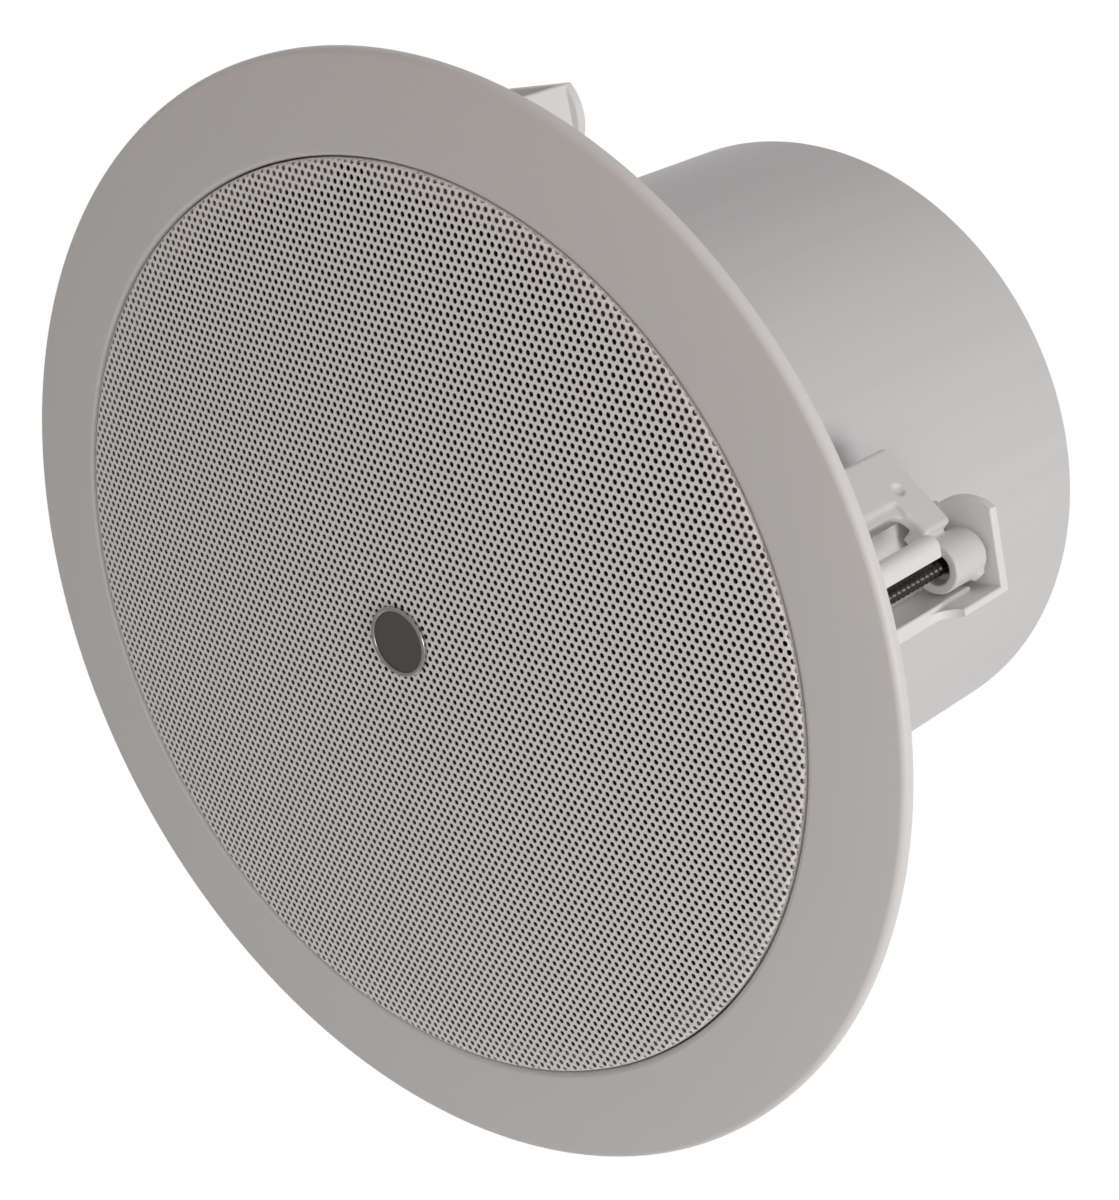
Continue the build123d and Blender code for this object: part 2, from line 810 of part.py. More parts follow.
def board_standoffs():
    """Spacers between the board and the can's rear wall."""
    spacer = disc(standoff_diameter / 2, board_rear, can_floor) - disc(fixing_radius, board_rear, can_floor)
    return group(Pos(x, y, 0) * spacer for x, y in board_corners())


def board_screws():
    """Screws through the board and its spacers into the can's rear wall."""
    screw = Pos(0, 0, board_front) * fixing_screw(can_floor - board_front + can_sheet)
    return group(Pos(x, y, 0) * screw for x, y in board_corners())


def component_spacing():
    """Distance between the crossover's components along its board."""
    return component_pitch * board_length


def crossover_coil():
    """Air-cored crossover inductor."""
    low = board_front - coil_height
    ring = disc(coil_outside / 2, low, board_front) - disc(coil_inside / 2, low, board_front)
    return Pos(-component_spacing(), 0, 0) * ring


def crossover_capacitor():
    """Film capacitor lying on the board."""
    radius = capacitor_diameter / 2
    body = Rot(90, 0, 0) * Cylinder(radius, capacitor_length)
    body = fillet(body.edges(), radius / 6)
    return Pos(component_spacing() / 2, 0, board_front - radius) * body


def crossover_resistor():
    """Cement resistor standing beside the capacitor."""
    x = 1.5 * component_spacing()
    side = resistor_side / 2
    return block((x - side, x + side), (-resistor_length / 2, resistor_length / 2),
                 (board_front - resistor_side, board_front))


def cover_screw_places():
    """Places of the terminal cover's two screws along X."""
    x = cover_length / 2 + cover_tab / 2
    return [-x, x]


def terminal_cover():
    """Pressed cover over the terminals, with screw tabs and a cable entry in one side."""
    half_x = cover_length / 2
    half_y = cover_width / 2
    box = block((-half_x, half_x), (-half_y, half_y), (can_rear, can_rear + cover_height))
    box = fillet(box.edges().filter_by(Axis.Z), cover_corner)
    box = fillet(box.faces().sort_by(Axis.Z)[-1].edges(), cover_corner / 2)
    inside_x = half_x - cover_sheet
    inside_y = half_y - cover_sheet
    hollow = block((-inside_x, inside_x), (-inside_y, inside_y),
                   (can_rear, can_rear + cover_height - cover_sheet))
    hollow = fillet(hollow.edges().filter_by(Axis.Z), cover_corner - cover_sheet)
    tabs = block((-half_x - cover_tab, half_x + cover_tab), (-half_y / 2, half_y / 2),
                 (can_rear, can_rear + cover_sheet))
    cover = box + tabs - hollow
    entry = Rot(90, 0, 0) * Cylinder(entry_diameter / 2, 2 * cover_corner)
    entry = Pos(0, -half_y, can_rear + cover_height / 2) * entry
    for x in cover_screw_places():
        hole = disc(fixing_radius + slip_fit, can_rear - overcut, can_rear + cover_height)
        cover = cover - Pos(x, 0, 0) * hole
    return cover - entry


def cover_screws():
    """Screws of the terminal cover."""
    screw = Rot(180, 0, 0) * fixing_screw(cover_sheet + can_sheet + fixing_bite)
    screw = Pos(0, 0, can_rear + cover_sheet) * screw
    return group(Pos(x, 0, 0) * screw for x in cover_screw_places())


def cable_grommet():
    """Rubber grommet in the cover's cable entry."""
    seat = entry_diameter / 2 - slip_fit
    lip = seat + grommet_lip
    bore = grommet_bore / 2
    half = cover_sheet / 2 + slip_fit
    ring = turned(
        (bore, -half - grommet_lip),
        (lip, -half - grommet_lip, grommet_lip / 2),
        (lip, -half),
        (seat, -half),
        (seat, half),
        (lip, half),
        (lip, half + grommet_lip, grommet_lip / 2),
        (bore, half + grommet_lip),
    )
    return Pos(0, -cover_width / 2 + cover_sheet / 2, can_rear + cover_height / 2) * (Rot(90, 0, 0) * ring)


def terminal_block():
    """Screw terminal block on the can's rear wall, beside the hole for the inner leads."""
    low_y = lead_hole_diameter / 2 + slip_fit
    body = block((-block_length / 2, block_length / 2), (low_y, low_y + block_width),
                 (can_rear, can_rear + block_height))
    pitch = block_length / block_ways
    for i in range(block_ways):
        x = pitch * (i + 0.5) - block_length / 2
        way = Pos(x, low_y + block_width / 2, can_rear + block_height / 2.5)
        body = body - way * (Rot(90, 0, 0) * Cylinder(block_way_diameter / 2, 2 * block_width))
        body = body - Pos(x, low_y + block_width / 2, 0) * disc(
            block_way_diameter / 2, can_rear + block_height / 1.5, can_rear + block_height + overcut)
    return body


def safety_eye():
    """Eye for a safety line, with its collar and stud through the can's rear wall."""
    ring = Rot(90, 0, 0) * Torus(eye_ring_diameter / 2 - eye_wire_diameter / 2, eye_wire_diameter / 2)
    ring = Pos(0, 0, can_rear + eye_collar_height + eye_ring_diameter / 2 - eye_wire_diameter / 4) * ring
    collar = disc(eye_collar_diameter / 2, can_rear, can_rear + eye_collar_height)
    stud = disc(eye_stud_diameter / 2, can_floor - 1.2 * eye_nut_height, can_rear)
    return Pos(0, eye_circle, 0) * (ring + collar + stud)


def eye_nut():
    """Nut of the safety eye inside the can."""
    nut = extrude(RegularPolygon(eye_nut_size / 2, 6, major_radius=False), eye_nut_height)
    nut = Pos(0, 0, can_floor - eye_nut_height) * nut
    return Pos(0, eye_circle, 0) * (nut - disc(eye_stud_diameter / 2 + slip_fit / 2, 0, can_floor))


def clamp_nodes():
    """Every clamp's arm, insert, screw and clip by node name."""
    nodes = {}
    for index in range(clamp_count):
        number = index + 1
        nodes[f"clamp_arm_{number}"] = at_clamp(parked(clamp_arm()), index)
        nodes[f"clamp_insert_{number}"] = at_clamp(clamp_insert(), index)
        nodes[f"clamp_screw_{number}"] = at_clamp(clamp_screw(), index)
        nodes[f"screw_clip_{number}"] = at_clamp(screw_clip(), index)
    return nodes


def all_nodes():
    """Every piece by node name."""
    makers = [
        front_frame, grille, grille_scrim, badge, back_can, can_gasket, can_screws,
        woofer_basket, basket_gasket, woofer_screws, surround, cone, spider, voice_coil,
        top_plate, magnet, pole_yoke, tweeter_housing, tweeter_magnet, tweeter_dome,
        crossover_board, board_standoffs, board_screws, crossover_coil, crossover_capacitor,
        crossover_resistor, terminal_cover, cover_screws, cable_grommet, terminal_block,
        safety_eye, eye_nut,
    ]
    nodes = {make.__name__: make() for make in makers}
    nodes.update(clamp_nodes())
    return nodes


os.makedirs("parts", exist_ok=True)
for name, shape in all_nodes().items():
    export_step(shape, f"parts/{name}.step")
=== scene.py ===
"""Round in-ceiling loudspeaker on its CAD frame: perforated grille, threads, cloth and finishes."""
import logging
import math
from dataclasses import dataclass, field
from enum import Enum

import bmesh
import bpy
from mathutils import Matrix, Vector


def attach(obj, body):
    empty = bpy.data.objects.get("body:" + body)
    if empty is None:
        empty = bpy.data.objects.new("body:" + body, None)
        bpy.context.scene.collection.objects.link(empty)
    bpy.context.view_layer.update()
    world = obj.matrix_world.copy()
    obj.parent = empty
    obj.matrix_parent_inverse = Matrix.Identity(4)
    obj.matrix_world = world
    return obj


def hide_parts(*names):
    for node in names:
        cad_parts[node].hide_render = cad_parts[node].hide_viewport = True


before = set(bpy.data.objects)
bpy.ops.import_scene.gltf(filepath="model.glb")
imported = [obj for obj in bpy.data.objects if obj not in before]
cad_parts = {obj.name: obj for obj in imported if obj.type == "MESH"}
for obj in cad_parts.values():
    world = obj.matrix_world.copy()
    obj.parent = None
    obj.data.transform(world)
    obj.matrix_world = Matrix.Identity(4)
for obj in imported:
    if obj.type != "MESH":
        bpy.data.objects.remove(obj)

MM = 0.001
WELD = 1e-7
SHARP_ANGLE = math.radians(30)
ROW_SHARE = math.sqrt(3) / 2
WAVE_SCALE = 1 / 20
GLOSS_SPREAD = 0.06
RELIEF_SHARE = 0.2
LOG = logging.getLogger("ceiling_speaker")
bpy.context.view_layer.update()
SPEAKER = "speaker"
DEPTH = "hole_depth"
Point = tuple[float, float]
Colour = tuple[float, float, float]


class Grain(Enum):
    """Kinds of surface texture that the finishes use."""

    MOULDED = "moulded"
    POWDER = "powder"
    DRAWN = "drawn"
    TURNED = "turned"
    WOVEN = "woven"
    WOUND = "wound"
    CELLULAR = "cellular"


def clamp_body(kind: str, number: int) -> str:
    """Name of one clamp's body.

    Args:
        kind: which body of the clamp, such as "screw" or "arm".
        number: the clamp's number from 1.

    Returns:
        The body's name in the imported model.
    """
    return f"clamp_{kind}_{number}"


def add(
    tree: bpy.types.NodeTree, kind: str, settings: dict | None = None, **sockets: object
) -> bpy.types.Node:
    """Adds a node and sets or links its inputs.

    Args:
        tree: the node tree that gets the node.
        kind: Blender's type name of the node.
        settings: properties of the node itself.
        **sockets: inputs by name with spaces as underscores, or _0, _1 for their order; a socket is linked.

    Returns:
        The new node.
    """
    made = tree.nodes.new(kind)
    for key, value in (settings or {}).items():
        setattr(made, key, value)
    for key, value in sockets.items():
        target = made.inputs[int(key[1:])] if key[1:].isdigit() else made.inputs[key.replace("_", " ")]
        if isinstance(value, bpy.types.NodeSocket):
            tree.links.new(value, target)
        else:
            target.default_value = value
    return made


@dataclass(frozen=True)
class Finish:
    """One surface finish, a procedural material on Object coordinates; its colour can darken with hole
    depth, which is painted shade in deep holes.
    """

    name: str
    colour: Colour
    roughness: float
    grain: Grain
    grain_mm: float
    relief: float = 0.1
    mottle: float = 0.05
    patch_mm: float = 40.0
    metallic: float = 0.0
    sheen: float = 0.0
    coat: float = 0.0
    axis_stretch: float = 1.0
    specular: float = 0.5
    painted_hole_shade: float = 1.0

    def _texture(self, tree: bpy.types.NodeTree, place: bpy.types.NodeSocket) -> bpy.types.NodeSocket:
        """Makes the fine texture that drives relief and part of the roughness.

        Args:
            tree: the material's tree.
            place: Object coordinates in metres.

        Returns:
            A socket with values about 0 to 1.
        """
        size = 1.0 / (self.grain_mm * MM)
        if self.grain is Grain.POWDER:
            cells = add(tree, "ShaderNodeTexVoronoi", {"feature": "SMOOTH_F1"}, Vector=place, Scale=size)
            return cells.outputs["Distance"]
        if self.grain is Grain.CELLULAR:
            return add(tree, "ShaderNodeTexVoronoi", None, Vector=place, Scale=size).outputs["Distance"]
        if self.grain is Grain.WOVEN:
            waves = [add(tree, "ShaderNodeTexWave", {"bands_direction": axis}, Vector=place,
                         Scale=size * WAVE_SCALE, Distortion=0.6) for axis in ("X", "Y")]
            return add(tree, "ShaderNodeMath", {"operation": "MULTIPLY"},
                       _0=waves[0].outputs["Fac"], _1=waves[1].outputs["Fac"]).outputs[0]
        if self.grain is Grain.WOUND:
            bands = add(tree, "ShaderNodeTexWave", {"bands_direction": "Z"}, Vector=place,
                        Scale=size * WAVE_SCALE, Distortion=0.3)
            return bands.outputs["Fac"]
        if self.grain is Grain.TURNED:
            rings = add(tree, "ShaderNodeTexWave", {"wave_type": "RINGS", "rings_direction": "Z"},
                        Vector=place, Scale=size * WAVE_SCALE, Distortion=1.5, Detail=3.0)
            return rings.outputs["Fac"]
        noise = add(tree, "ShaderNodeTexNoise", None, Vector=place, Scale=size, Detail=4.0, Roughness=0.6)
        return noise.outputs["Fac"]

    def material(self) -> bpy.types.Material:
        """Builds the finish once and gives it back after that.

        Returns:
            The material.
        """
        known = bpy.data.materials.get(f"finish_{self.name}")
        if known:
            return known
        made = bpy.data.materials.new(f"finish_{self.name}")
        made.use_nodes = True
        tree = made.node_tree
        shader = tree.nodes["Principled BSDF"]
        place = add(tree, "ShaderNodeTexCoord").outputs["Object"]
        if self.axis_stretch != 1.0:
            scale = (1.0, 1.0, 1.0 / self.axis_stretch)
            place = add(tree, "ShaderNodeMapping", None, Vector=place, Scale=scale).outputs[0]
        texture = self._texture(tree, place)
        patches = add(tree, "ShaderNodeTexNoise", None, Vector=place,
                      Scale=1.0 / (self.patch_mm * MM), Detail=3.0)
        dark = tuple(c * (1 - self.mottle) for c in self.colour) + (1.0,)
        light = tuple(min(1.0, c * (1 + self.mottle)) for c in self.colour) + (1.0,)
        tint = add(tree, "ShaderNodeMix", {"data_type": "RGBA"}, _0=patches.outputs["Fac"])
        tint.inputs[6].default_value = dark
        tint.inputs[7].default_value = light
        colour = tint.outputs[2]
        # Painted shade: the colour darkens with the stored hole depth, to near black at the back of each
        # hole.
        if self.painted_hole_shade != 1.0:
            deep = add(tree, "ShaderNodeAttribute", {"attribute_name": DEPTH})
            share = add(tree, "ShaderNodeMapRange", None, Value=deep.outputs["Fac"],
                        _3=1.0, _4=self.painted_hole_shade)
            colour = add(tree, "ShaderNodeVectorMath", {"operation": "SCALE"},
                         _0=colour, Scale=share.outputs[0]).outputs[0]
        tree.links.new(colour, shader.inputs["Base Color"])
        gloss = add(tree, "ShaderNodeMapRange", None, Value=texture,
                    _3=self.roughness - GLOSS_SPREAD, _4=self.roughness + GLOSS_SPREAD)
        tree.links.new(gloss.outputs[0], shader.inputs["Roughness"])
        bump = add(tree, "ShaderNodeBump", None, Height=texture, Strength=self.relief,
                   Distance=RELIEF_SHARE * self.grain_mm * MM)
        tree.links.new(bump.outputs["Normal"], shader.inputs["Normal"])
        shader.inputs["Metallic"].default_value = self.metallic
        shader.inputs["Sheen Weight"].default_value = self.sheen
        shader.inputs["Coat Weight"].default_value = self.coat
        shader.inputs["Specular IOR Level"].default_value = self.specular
        return made


# Painted shade: the bezel skin is the front frame's white moulding, made darker because its front faces
# away from the lamps.
BEZEL_SHADED_MOULDING = Finish("bezel_painted_shade", (0.74, 0.73, 0.72), 0.50, Grain.MOULDED, 0.35, 0.12, 0.015)
WHITE_MOULDING = Finish("white_moulding", (0.85, 0.845, 0.84), 0.50, Grain.MOULDED, 0.35, 0.08, 0.015)
ARM_MOULDING = Finish("arm_moulding", (0.73, 0.725, 0.72), 0.42, Grain.MOULDED, 0.5, 0.06, 0.015)
# The grille's hole walls get painted shade, falling to 5 % of the coat's colour at their deep end.
GRILLE_COAT = Finish(
    "grille_coat", (0.94, 0.92, 0.90), 0.55, Grain.POWDER, 0.18, 0.12, 0.02, painted_hole_shade=0.05)
CAN_PAINT = Finish(
    "can_paint", (0.69, 0.69, 0.695), 0.45, Grain.DRAWN, 1.6, 0.05, 0.04, 6.0, axis_stretch=60.0,
    specular=0.2)
SCRIM_CLOTH = Finish("scrim_cloth", (0.008, 0.008, 0.008), 0.9, Grain.WOVEN, 0.5, 0.5, 0.2, sheen=0.1)
BLACK_SCREW = Finish("black_screw", (0.035, 0.030, 0.028), 0.28, Grain.MOULDED, 0.3, 0.1, 0.2, 6.0, 0.8)
ZINC = Finish("zinc", (0.55, 0.55, 0.53), 0.34, Grain.TURNED, 0.4, 0.06, 0.06, 5.0, 1.0)
BRASS = Finish("brass", (0.60, 0.40, 0.14), 0.3, Grain.TURNED, 0.4, 0.06, 0.06, 5.0, 1.0)
FOAM = Finish("foam", (0.02, 0.02, 0.02), 0.92, Grain.CELLULAR, 0.6, 0.6, 0.2)
BASKET_PAINT = Finish("basket_paint", (0.015, 0.015, 0.016), 0.45, Grain.POWDER, 0.4, 0.15, 0.1)
RUBBER = Finish("rubber", (0.012, 0.012, 0.012), 0.62, Grain.MOULDED, 0.3, 0.15, 0.15)
CONE_PULP = Finish("cone_pulp", (0.02, 0.02, 0.021), 0.7, Grain.MOULDED, 1.5, 0.3, 0.25, 12.0)
SPIDER_CLOTH = Finish("spider_cloth", (0.42, 0.26, 0.07), 0.75, Grain.WOVEN, 0.6, 0.5, 0.1)
COPPER_WIRE = Finish("copper_wire", (0.52, 0.19, 0.07), 0.32, Grain.WOUND, 0.5, 0.6, 0.08, 8.0, 1.0)
PLATE_STEEL = Finish("plate_steel", (0.45, 0.45, 0.44), 0.38, Grain.TURNED, 0.6, 0.06, 0.06, 15.0, 1.0)
FERRITE = Finish("ferrite", (0.03, 0.03, 0.032), 0.6, Grain.MOULDED, 0.4, 0.2, 0.2, 10.0)
TWEETER_SHELL = Finish("tweeter_shell", (0.015, 0.015, 0.015), 0.4, Grain.MOULDED, 0.3, 0.1, 0.1)
DOME_CLOTH = Finish("dome_cloth", (0.015, 0.015, 0.016), 0.55, Grain.WOVEN, 0.35, 0.4, 0.1, sheen=0.2)
BOARD = Finish("board", (0.02, 0.09, 0.035), 0.4, Grain.MOULDED, 0.8, 0.05, 0.1, coat=0.2)
CAPACITOR_SLEEVE = Finish("capacitor_sleeve", (0.19, 0.02, 0.012), 0.3, Grain.MOULDED, 1.0, 0.04, 0.08)
CEMENT = Finish("cement", (0.50, 0.49, 0.46), 0.85, Grain.CELLULAR, 0.5, 0.3, 0.08)
BLOCK_MOULDING = Finish("block_moulding", (0.60, 0.60, 0.55), 0.45, Grain.MOULDED, 0.4, 0.08, 0.03)


def dress(node: str, finish: Finish) -> None:
    """Gives a CAD node its finish.

    Args:
        node: the node's name.
        finish: what its surface is made of.
    """
    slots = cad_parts[node].material_slots
    for slot in slots:
        slot.material = finish.material()
    LOG.info("%s: %s", node, finish.name)


def new_piece(
    name: str, mesh: bpy.types.Mesh, body: str, replaced: tuple[str, ...] = ()
) -> bpy.types.Object:
    """Puts a finished mesh into the scene on a body.

    Args:
        name: the piece's name.
        mesh: its mesh, placed in the row frame.
        body: the body that it rides on.
        replaced: the CAD nodes that it stands for.

    Returns:
        The piece.
    """
    piece = bpy.data.objects.new(name, mesh)
    bpy.context.scene.collection.objects.link(piece)
    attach(piece, body)
    if replaced:
        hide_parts(*replaced)
    LOG.info("%s: %d faces on %s", name, len(mesh.polygons), body)
    return piece


def rounded(corners: list[tuple[float, float, float]], steps: int = 8) -> list[Point]:
    """Puts arcs on the corners of a closed profile.

    Args:
        corners: radius, height and corner radius in millimetres, 0 for a sharp corner.
        steps: number of pieces in each arc.

    Returns:
        The profile's points.
    """
    points = []
    for index, (r, z, bend) in enumerate(corners):
        if not bend:
            points.append((r, z))
            continue
        here = Vector((r, z))
        back = (Vector(corners[index - 1][:2]) - here).normalized()
        ahead = (Vector(corners[(index + 1) % len(corners)][:2]) - here).normalized()
        half = back.angle(ahead) / 2
        centre = here + (back + ahead).normalized() * bend / math.sin(half)
        start = here + back * bend / math.tan(half) - centre
        end = here + ahead * bend / math.tan(half) - centre
        points += [tuple(centre + start.lerp(end, i / steps).normalized() * bend) for i in range(steps + 1)]
    return points


def lathe(name: str, profile: list[Point], steps: int, finish: Finish) -> bpy.types.Mesh:
    """Turns a closed profile about Z.

    Args:
        name: the mesh's name.
        profile: (radius, height) corners in millimetres, counter-clockwise with the radius to the right.
        steps: number of facets round the axis.
        finish: the surface.

    Returns:
        The mesh, in metres, with its poles closed.
    """
    shape = bmesh.new()
    angles = [2 * math.pi * i / steps for i in range(steps)]
    rings = [[shape.verts.new((r * MM * math.cos(a), r * MM * math.sin(a), z * MM)) for r, z in profile]
             for a in angles]
    for ring, following in zip(rings, rings[1:] + rings[:1]):
        for j, low in enumerate(ring):
            k = (j + 1) % len(profile)
            shape.faces.new((low, following[j], following[k], ring[k]))
    bmesh.ops.remove_doubles(shape, verts=shape.verts, dist=WELD)
    mesh = bpy.data.meshes.new(name)
    shape.to_mesh(mesh)
    shape.free()
    mesh.materials.append(finish.material())
    mesh.shade_smooth()
    mesh.set_sharp_from_angle(angle=SHARP_ANGLE)
    return mesh


class NodeShape:
    """A Geometry Nodes tree with named inputs, run once on an empty mesh and turned into a plain mesh."""

    def __init__(self, name: str, inputs: dict[str, float]) -> None:
        """Makes the tree and its inputs.

        Args:
            name: the tree's name.
            inputs: named sizes with their values.
        """
        self.tree = bpy.data.node_groups.new(name, "GeometryNodeTree")
        self.tree.interface.new_socket("Geometry", in_out="OUTPUT", socket_type="NodeSocketGeometry")
        self.values = inputs
        for key in inputs:
            self.tree.interface.new_socket(key, in_out="INPUT", socket_type="NodeSocketFloat")
        self.source = self.tree.nodes.new("NodeGroupInput")
        self.result = self.tree.nodes.new("NodeGroupOutput")

    def size(self, key: str) -> bpy.types.NodeSocket:
        """Finds the socket of a named input.

        Args:
            key: the input's name.

        Returns:
            The socket.
        """
        return self.source.outputs[key]

    def add(self, kind: str, settings: dict | None = None, **sockets: object) -> bpy.types.Node:
        """Adds a node to the tree.

        Args:
            kind: Blender's type name of the node.
            settings: properties of the node itself.
            **sockets: inputs, as in the function add.

        Returns:
            The new node.
        """
        return add(self.tree, kind, settings, **sockets)

    def place(self) -> bpy.types.Node:
        """Adds a node that splits each point's place into X, Y and Z.

        Returns:
            The node.
        """
        return self.add("ShaderNodeSeparateXYZ", None, _0=self.add("GeometryNodeInputPosition").outputs[0])

    def maths(self, operation: str, *terms: object) -> bpy.types.NodeSocket:
        """Adds a Math node.

        Args:
            operation: what the node does.
            *terms: its inputs, in order.

        Returns:
            The result's socket.
        """
        sockets = {f"_{i}": term for i, term in enumerate(terms)}
        return add(self.tree, "ShaderNodeMath", {"operation": operation}, **sockets).outputs[0]

    def mesh(self, shape: bpy.types.NodeSocket, finish: Finish) -> bpy.types.Mesh:
        """Ends the tree, runs it and keeps the result.

        Args:
            shape: the geometry, instances allowed.
            finish: the surface.

        Returns:
            A plain mesh in metres.
        """
        real = self.add("GeometryNodeRealizeInstances", None, Geometry=shape)
        painted = self.add("GeometryNodeSetMaterial", None, Geometry=real.outputs[0])
        painted.inputs["Material"].default_value = finish.material()
        self.tree.links.new(painted.outputs[0], self.result.inputs[0])
        holder = bpy.data.objects.new(self.tree.name, bpy.data.meshes.new(self.tree.name))
        bpy.context.scene.collection.objects.link(holder)
        modifier = holder.modifiers.new(self.tree.name, "NODES")
        modifier.node_group = self.tree
        for item in self.tree.interface.items_tree:
            if item.in_out == "INPUT":
                modifier[item.identifier] = self.values[item.name]
        evaluated = holder.evaluated_get(bpy.context.evaluated_depsgraph_get())
        made = bpy.data.meshes.new_from_object(evaluated)
        made.name = self.tree.name
        bpy.data.objects.remove(holder)
        return made


@dataclass
class PerforatedGrille:
    """Domed steel grille with staggered round holes that run over its folded edge. Sizes in millimetres."""

    pitch: float = 2.0
    hole_radius: float = 0.68
    hole_sides: int = 8
    sheet: float = 0.8
    wall: float = 0.4
    radius: float = 108.45
    fold: float = 1.2
    crown: float = -9.2
    edge: float = -5.0
    ledge: float = 1.5
    holes_past_fold: float = 0.2
    lattice_angle: float = 0.2294
    spare_cells: int = 9
    weld: float = 0.01
    edge_inset: float = 0.04
    edge_overlap: float = 0.5
    edge_steps: int = 360
    zones: tuple[float, ...] = (0.0, 77.0, 200.0)

    def _lattice(self, shape: NodeShape) -> bpy.types.NodeSocket:
        """Staggered points of one ring-shaped zone.

        Args:
            shape: the tree.

        Returns:
            The points as a mesh.
        """
        pitch = shape.size("Pitch")
        row = shape.maths("MULTIPLY", pitch, ROW_SHARE)
        columns = 2 * int(self.radius / self.pitch) + self.spare_cells
        rows = 2 * int(self.radius / (self.pitch * ROW_SHARE)) + self.spare_cells
        width = shape.maths("MULTIPLY", pitch, float(columns - 1))
        height = shape.maths("MULTIPLY", row, float(rows - 1))
        grid = shape.add("GeometryNodeMeshGrid", None, Size_X=width, Size_Y=height,
                         Vertices_X=columns, Vertices_Y=rows)
        place = shape.place()
        line = shape.maths("ROUND", shape.maths("DIVIDE", place.outputs["Y"], row))
        half = shape.maths("MULTIPLY", pitch, 0.5)
        shift = shape.maths("MULTIPLY", shape.maths("FLOORED_MODULO", line, 2.0), half)
        moved = shape.add("GeometryNodeSetPosition", None, Geometry=grid.outputs["Mesh"],
                          Offset=shape.add("ShaderNodeCombineXYZ", None, X=shift).outputs[0])
        spun = shape.add("GeometryNodeTransform", None, Geometry=moved.outputs[0],
                         Rotation=shape.add("ShaderNodeCombineXYZ", None, Z=shape.size("Angle")).outputs[0])
        reach = shape.add("ShaderNodeVectorMath", {"operation": "LENGTH"},
                          _0=shape.add("GeometryNodeInputPosition").outputs[0]).outputs["Value"]
        near = shape.add("FunctionNodeCompare", {"operation": "LESS_THAN"},
                         A=reach, B=shape.size("Zone start"))
        far = shape.add("FunctionNodeCompare", {"operation": "GREATER_EQUAL"},
                        A=reach, B=shape.size("Zone end"))
        outside = shape.add("FunctionNodeBooleanMath", {"operation": "OR"},
                            _0=near.outputs[0], _1=far.outputs[0])
        kept = shape.add("GeometryNodeDeleteGeometry", {"domain": "POINT"},
                         Geometry=spun.outputs[0], Selection=outside.outputs[0])
        return kept.outputs[0]

    def _cell(self, shape: NodeShape) -> bpy.types.NodeSocket:
        """One hexagonal cell of the sheet with its hole and the hole's wall, flat at height 0.

        Args:
            shape: the tree.

        Returns:
            The cell's mesh.
        """
        corner = shape.maths("DIVIDE", shape.size("Pitch"), math.sqrt(3))
        hexagon = shape.add("GeometryNodeCurvePrimitiveCircle", None, Resolution=6, Radius=corner)
        turned = shape.add("GeometryNodeTransform", None, Geometry=hexagon.outputs[0],
                           Rotation=(0.0, 0.0, math.pi / 6))
        hole = shape.add("GeometryNodeCurvePrimitiveCircle", None, Resolution=self.hole_sides,
                         Radius=shape.size("Hole radius"))
        both = shape.add("GeometryNodeJoinGeometry")
        for part in (turned.outputs[0], hole.outputs[0]):
            shape.tree.links.new(part, both.inputs[0])
        face = shape.add("GeometryNodeFillCurve", None, Curve=both.outputs[0])
        inwards = shape.maths("MULTIPLY", shape.size("Wall"), -1.0)
        depth = shape.add("ShaderNodeCombineXYZ", None, Y=inwards)
        line = shape.add("GeometryNodeCurvePrimitiveLine", None, End=depth.outputs[0])
        wall = shape.add("GeometryNodeCurveToMesh", None, Curve=hole.outputs[0],
                         Profile_Curve=line.outputs[0])
        flipped = shape.add("GeometryNodeFlipFaces", None, Mesh=face.outputs[0])
        cell = shape.add("GeometryNodeJoinGeometry")
        for part in (flipped.outputs[0], wall.outputs[0]):
            shape.tree.links.new(part, cell.inputs[0])
        return cell.outputs[0]

    def _formed(self, shape: NodeShape, flat: bpy.types.NodeSocket) -> bpy.types.NodeSocket:
        """Bends the flat sheet into the dome and over the fold.

        Args:
            shape: the tree.
            flat: the flat perforated sheet.

        Returns:
            The formed sheet.
        """
        x, y, depth = shape.place().outputs
        # The depth share stored here drives the painted shade inside the holes.
        depth_share = shape.maths("DIVIDE", depth, shape.size("Wall"))
        marked = shape.add("GeometryNodeStoreNamedAttribute", {"data_type": "FLOAT", "domain": "POINT"},
                           Geometry=flat, Name=DEPTH, Value=depth_share)
        square = shape.maths("ADD", shape.maths("MULTIPLY", x, x), shape.maths("MULTIPLY", y, y))
        run = shape.maths("MAXIMUM", shape.maths("SQRT", square), WELD)
        fold = shape.size("Fold")
        start = shape.maths("SUBTRACT", shape.size("Radius"), fold)
        arc = shape.maths("MULTIPLY", fold, math.pi / 2)
        past = shape.maths("MAXIMUM", shape.maths("SUBTRACT", run, start), 0.0)
        angle = shape.maths("DIVIDE", shape.maths("MINIMUM", past, arc), fold)
        skirt = shape.maths("MAXIMUM", shape.maths("SUBTRACT", past, arc), 0.0)
        inner = shape.maths("MINIMUM", run, start)
        share = shape.maths("DIVIDE", inner, shape.size("Radius"))
        dome = shape.maths("MULTIPLY", shape.maths("MULTIPLY", share, share), shape.size("Dome"))
        sine, cosine = shape.maths("SINE", angle), shape.maths("COSINE", angle)
        bend = shape.maths("SUBTRACT", fold, depth)
        radius = shape.maths("ADD", inner, shape.maths("MULTIPLY", sine, bend))
        fall = shape.maths("SUBTRACT", fold, shape.maths("MULTIPLY", cosine, bend))
        drop = shape.maths("ADD", fall, skirt)
        height = shape.maths("ADD", shape.maths("ADD", shape.size("Crown"), dome), drop)
        scale = shape.maths("DIVIDE", radius, run)
        target = shape.add("ShaderNodeCombineXYZ", None, X=shape.maths("MULTIPLY", x, scale),
                           Y=shape.maths("MULTIPLY", y, scale), Z=height)
        formed = shape.add("GeometryNodeSetPosition", None, Geometry=marked.outputs[0],
                           Position=target.outputs[0])
        return formed.outputs[0]

